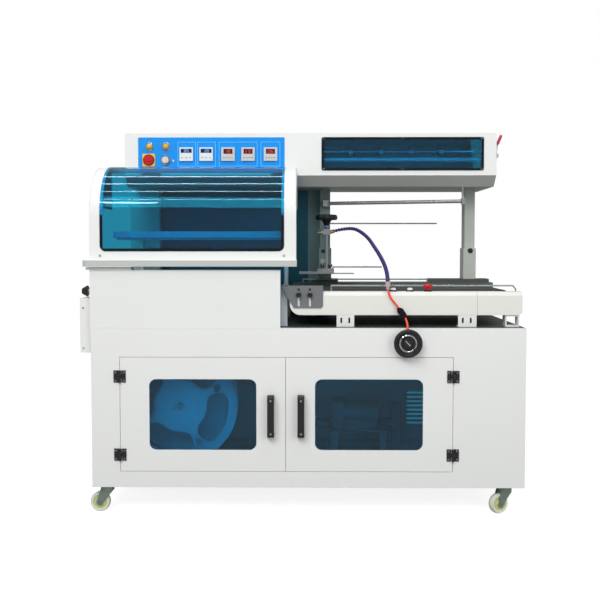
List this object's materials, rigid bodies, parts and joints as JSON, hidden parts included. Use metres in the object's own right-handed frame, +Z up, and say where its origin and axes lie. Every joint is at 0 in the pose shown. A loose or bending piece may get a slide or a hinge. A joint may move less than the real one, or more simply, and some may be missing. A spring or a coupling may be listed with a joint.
{
  "type": "l bar sealer",
  "caption": "Automatic L bar film sealing machine on casters with belt infeed, curved tinted hood over the seal jaws, control and film box on posts, and a cabinet with windowed doors.",
  "frame": {"origin": "middle of the footprint, on the floor", "axes": "+X along the machine towards the infeed end, +Y from the operator's side to the back, +Z up"},
  "size_m": [1.65, 0.83, 1.463],
  "materials": {
    "white_paint": "textured white powder coat",
    "grey_paint": "satin grey paint",
    "steel": "brushed",
    "chrome": "polished",
    "zinc": "zinc plated",
    "blue_acrylic": "polished tinted acrylic",
    "overlay_blue": "printed polycarbonate",
    "white_plastic": "moulded",
    "black_plastic": "moulded",
    "red_plastic": "moulded",
    "belt_rubber": "woven face",
    "caster_tread": "cream polyurethane",
    "hose_blue": "moulded links",
    "tube_orange": "soft polyurethane",
    "brass": "turned",
    "aluminium": "milled"
  },
  "bodies": {
    "machine": {"cabinet_shell": "white_paint", "cabinet_front": "white_paint", "cabinet_deck": "white_paint", "inner_frame": "grey_paint", "hinge_leaves": "black_plastic", "caster_plates": "zinc", "seal_section": "white_paint", "side_box": "white_paint", "infeed_front_beam": "white_paint", "infeed_bed": "white_paint", "infeed_belt": "belt_rubber", "output_bed": "steel", "output_belt": "belt_rubber", "lower_jaw": "aluminium", "jaw_cylinders": "aluminium", "upper_box": "white_paint", "film_window": "blue_acrylic", "control_overlay": "overlay_blue", "panel_instruments": "white_plastic", "posts": "white_paint", "support_brackets": "white_paint", "clamp_knobs": "black_plastic", "film_guide": "white_paint", "guide_rods": "steel", "air_hose": "hose_blue", "air_tube": "tube_orange", "air_fittings": "brass"},
    "door_left": {"door_left": "white_paint", "door_left_pane": "blue_acrylic", "door_left_hardware": "black_plastic"},
    "door_right": {"door_right": "white_paint", "door_right_pane": "blue_acrylic", "door_right_hardware": "black_plastic"},
    "hood": {"hood_frame": "white_paint", "hood_window": "blue_acrylic"},
    "upper_jaw": {"upper_jaw": "aluminium"},
    "fork_front_left": {"fork_front_left": "zinc"},
    "wheel_front_left": {"wheel_front_left": "caster_tread"},
    "fork_front_right": {"fork_front_right": "zinc"},
    "wheel_front_right": {"wheel_front_right": "caster_tread"},
    "fork_rear_left": {"fork_rear_left": "zinc"},
    "wheel_rear_left": {"wheel_rear_left": "caster_tread"},
    "fork_rear_right": {"fork_rear_right": "zinc"},
    "wheel_rear_right": {"wheel_rear_right": "caster_tread"},
    "waste_reel": {"waste_reel": "steel"},
    "handwheel": {"handwheel": "black_plastic"},
    "main_switch": {"main_switch": "red_plastic"},
    "key_switch": {"key_switch": "chrome"},
    "start_button": {"start_button": "white_plastic"},
    "stop_button": {"stop_button": "white_plastic"},
    "estop_button": {"estop_button": "red_plastic"},
    "nip_lever": {"nip_lever": "red_plastic"},
    "perforator_shaft": {"perforator_shaft": "steel"},
    "free_roller": {"free_roller": "steel"},
    "slotted_bracket": {"slotted_bracket": "grey_paint"},
    "guide_knob": {"guide_knob": "black_plastic"},
    "infeed_drum_left": {"infeed_drum_left": "steel"},
    "infeed_drum_right": {"infeed_drum_right": "steel"},
    "output_drum_left": {"output_drum_left": "steel"},
    "output_drum_right": {"output_drum_right": "steel"}
  },
  "joints": [
    {"name": "door_left_hinge", "type": "hinge", "parent": "machine", "child": "door_left", "pos_m": [-0.67475, -0.3508, 0.3785], "axis": [0, 0, -1], "range_deg": [0, 100]},
    {"name": "door_right_hinge", "type": "hinge", "parent": "machine", "child": "door_right", "pos_m": [0.55775, -0.3508, 0.3785], "axis": [0, 0, 1], "range_deg": [0, 100]},
    {"name": "hood_hinge", "type": "hinge", "parent": "machine", "child": "hood", "pos_m": [-0.402, 0.007, 1.3005], "axis": [-1, 0, 0], "range_deg": [0, 60]},
    {"name": "jaw_stroke", "type": "slide", "parent": "machine", "child": "upper_jaw", "axis": [0, 0, -1], "range_m": [0, 0.182]},
    {"name": "swivel_front_left", "type": "hinge", "parent": "machine", "child": "fork_front_left", "pos_m": [-0.735, -0.295, 0.09], "axis": [0, 0, 1], "continuous": true},
    {"name": "roll_front_left", "type": "hinge", "parent": "fork_front_left", "child": "wheel_front_left", "pos_m": [-0.763, -0.295, 0.0375], "axis": [0, 1, 0], "continuous": true},
    {"name": "swivel_front_right", "type": "hinge", "parent": "machine", "child": "fork_front_right", "pos_m": [0.762, -0.295, 0.09], "axis": [0, 0, 1], "continuous": true},
    {"name": "roll_front_right", "type": "hinge", "parent": "fork_front_right", "child": "wheel_front_right", "pos_m": [0.73662, -0.30683, 0.0375], "axis": [-0.4226, 0.9063, 0], "continuous": true},
    {"name": "swivel_rear_left", "type": "hinge", "parent": "machine", "child": "fork_rear_left", "pos_m": [-0.735, 0.35, 0.09], "axis": [0, 0, 1], "continuous": true},
    {"name": "roll_rear_left", "type": "hinge", "parent": "fork_rear_left", "child": "wheel_rear_left", "pos_m": [-0.76205, 0.35725, 0.0375], "axis": [0.2588, 0.9659, 0], "continuous": true},
    {"name": "swivel_rear_right", "type": "hinge", "parent": "machine", "child": "fork_rear_right", "pos_m": [0.762, 0.35, 0.09], "axis": [0, 0, 1], "continuous": true},
    {"name": "roll_rear_right", "type": "hinge", "parent": "fork_rear_right", "child": "wheel_rear_right", "pos_m": [0.73442, 0.34514, 0.0375], "axis": [-0.1736, 0.9848, 0], "continuous": true},
    {"name": "reel_spin", "type": "hinge", "parent": "machine", "child": "waste_reel", "pos_m": [-0.471, -0.155, 0.386], "axis": [0, 1, 0], "continuous": true},
    {"name": "handwheel_turn", "type": "hinge", "parent": "machine", "child": "handwheel", "pos_m": [0.387, -0.36, 0.647], "axis": [0, -1, 0], "continuous": true},
    {"name": "main_switch_turn", "type": "hinge", "parent": "machine", "child": "main_switch", "pos_m": [-0.63, 0.005, 1.353], "axis": [0, 1, 0], "range_deg": [0, 90]},
    {"name": "key_switch_turn", "type": "hinge", "parent": "machine", "child": "key_switch", "pos_m": [-0.561, 0.005, 1.353], "axis": [0, 1, 0], "range_deg": [-45, 45]},
    {"name": "start_press", "type": "slide", "parent": "machine", "child": "start_button", "axis": [0, 0, -1], "range_m": [0, 0.0035], "stiffness_N_per_m": 600},
    {"name": "stop_press", "type": "slide", "parent": "machine", "child": "stop_button", "axis": [0, 0, -1], "range_m": [0, 0.0035], "stiffness_N_per_m": 600},
    {"name": "estop_press", "type": "slide", "parent": "machine", "child": "estop_button", "axis": [0, 0, -1], "range_m": [0, 0.005]},
    {"name": "nip_lever_turn", "type": "hinge", "parent": "machine", "child": "nip_lever", "pos_m": [0.797, 0.06, 1.376], "axis": [1, 0, 0], "range_deg": [-45, 60]},
    {"name": "perforator_spin", "type": "hinge", "parent": "machine", "child": "perforator_shaft", "pos_m": [0.424, 0.1, 1.397], "axis": [1, 0, 0], "continuous": true},
    {"name": "free_roller_spin", "type": "hinge", "parent": "machine", "child": "free_roller", "pos_m": [0.378, 0.115, 1.186], "axis": [0.9551, -0.2963, 0], "continuous": true},
    {"name": "bracket_slide", "type": "slide", "parent": "machine", "child": "slotted_bracket", "axis": [0, 0, 1], "range_m": [-0.018, 0.035]},
    {"name": "guide_knob_turn", "type": "hinge", "parent": "machine", "child": "guide_knob", "pos_m": [0.1, 0.105, 1.11], "axis": [0, 0, 1], "continuous": true},
    {"name": "infeed_left_spin", "type": "hinge", "parent": "machine", "child": "infeed_drum_left", "pos_m": [0.0133, -0.02, 0.8117], "axis": [0, 1, 0], "continuous": true},
    {"name": "infeed_right_spin", "type": "hinge", "parent": "machine", "child": "infeed_drum_right", "pos_m": [0.7667, -0.02, 0.8117], "axis": [0, 1, 0], "continuous": true},
    {"name": "output_left_spin", "type": "hinge", "parent": "machine", "child": "output_drum_left", "pos_m": [-0.6967, -0.027, 0.8117], "axis": [0, 1, 0], "continuous": true},
    {"name": "output_right_spin", "type": "hinge", "parent": "machine", "child": "output_drum_right", "pos_m": [-0.1213, -0.027, 0.8117], "axis": [0, 1, 0], "continuous": true}
  ],
  "couplings": [
    {"joint": "infeed_left_spin", "follows": "infeed_right_spin", "ratio": 1},
    {"joint": "output_right_spin", "follows": "output_left_spin", "ratio": 1}
  ]
}
